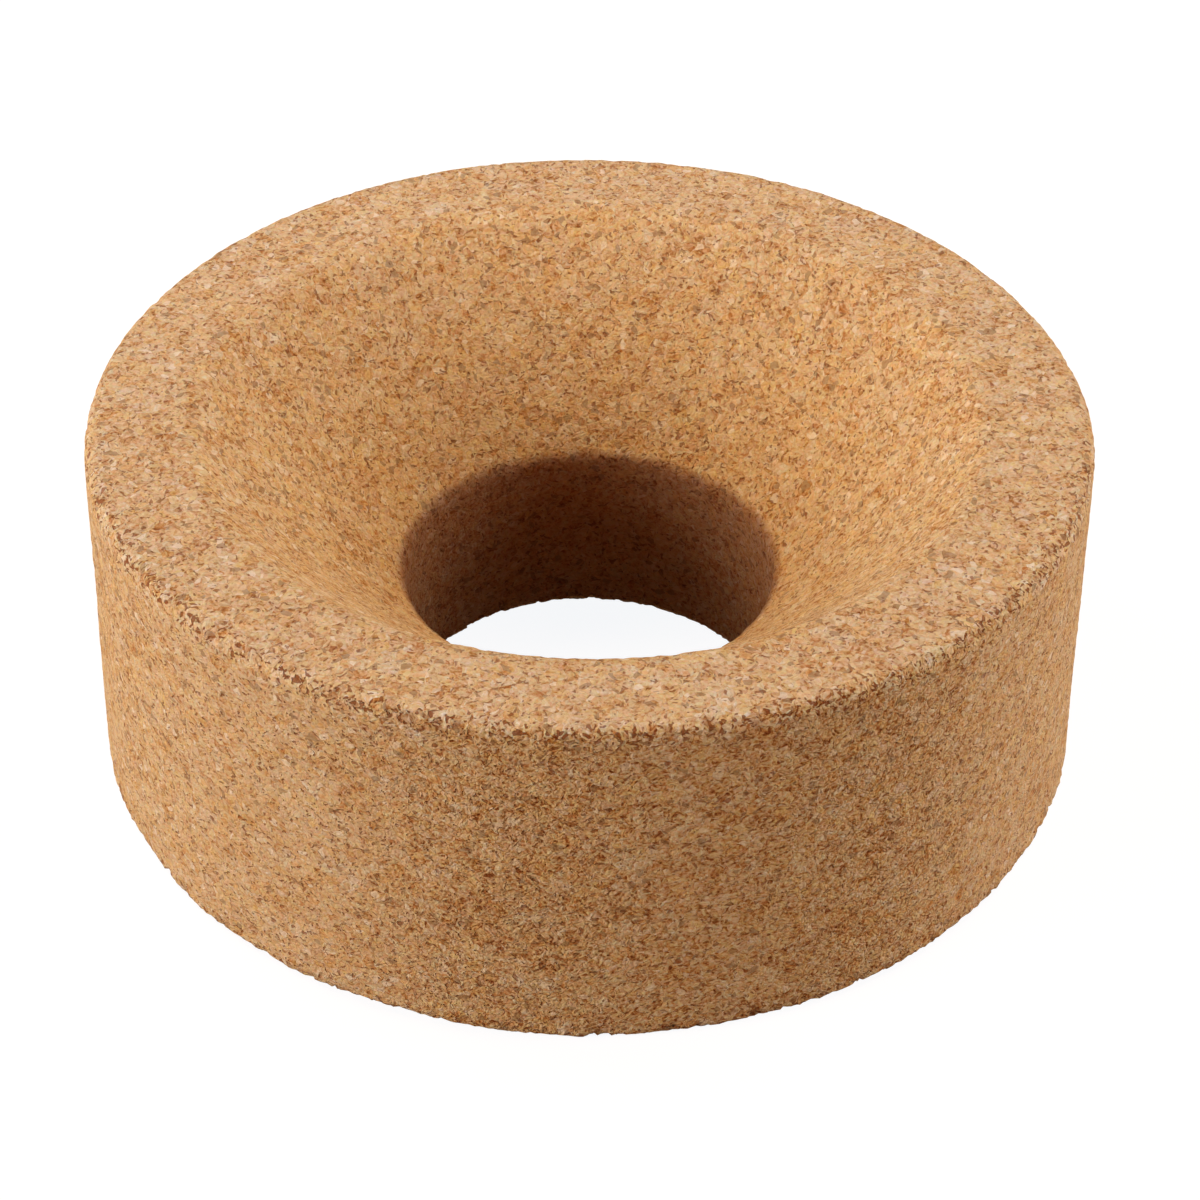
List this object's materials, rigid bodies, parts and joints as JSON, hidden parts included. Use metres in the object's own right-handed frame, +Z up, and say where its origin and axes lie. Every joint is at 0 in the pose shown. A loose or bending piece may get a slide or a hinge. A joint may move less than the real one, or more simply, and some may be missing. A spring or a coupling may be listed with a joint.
{
  "type": "cork ring",
  "caption": "Short thick ring of pressed cork with a flat rim, a funnel and a bore, which holds a round-bottom flask upright on a bench.",
  "frame": {"origin": "centre of the flat foot, on the axis of the bore", "axes": "+Z up along the bore, from the foot to the funnel's open mouth; the ring is round, so X and Y are free"},
  "size_m": [0.08, 0.08, 0.03],
  "materials": {
    "cork": "raw pressed cork granules, matt, with small pits"
  },
  "bodies": {
    "root": {"cork_ring": "cork"}
  },
  "joints": []
}
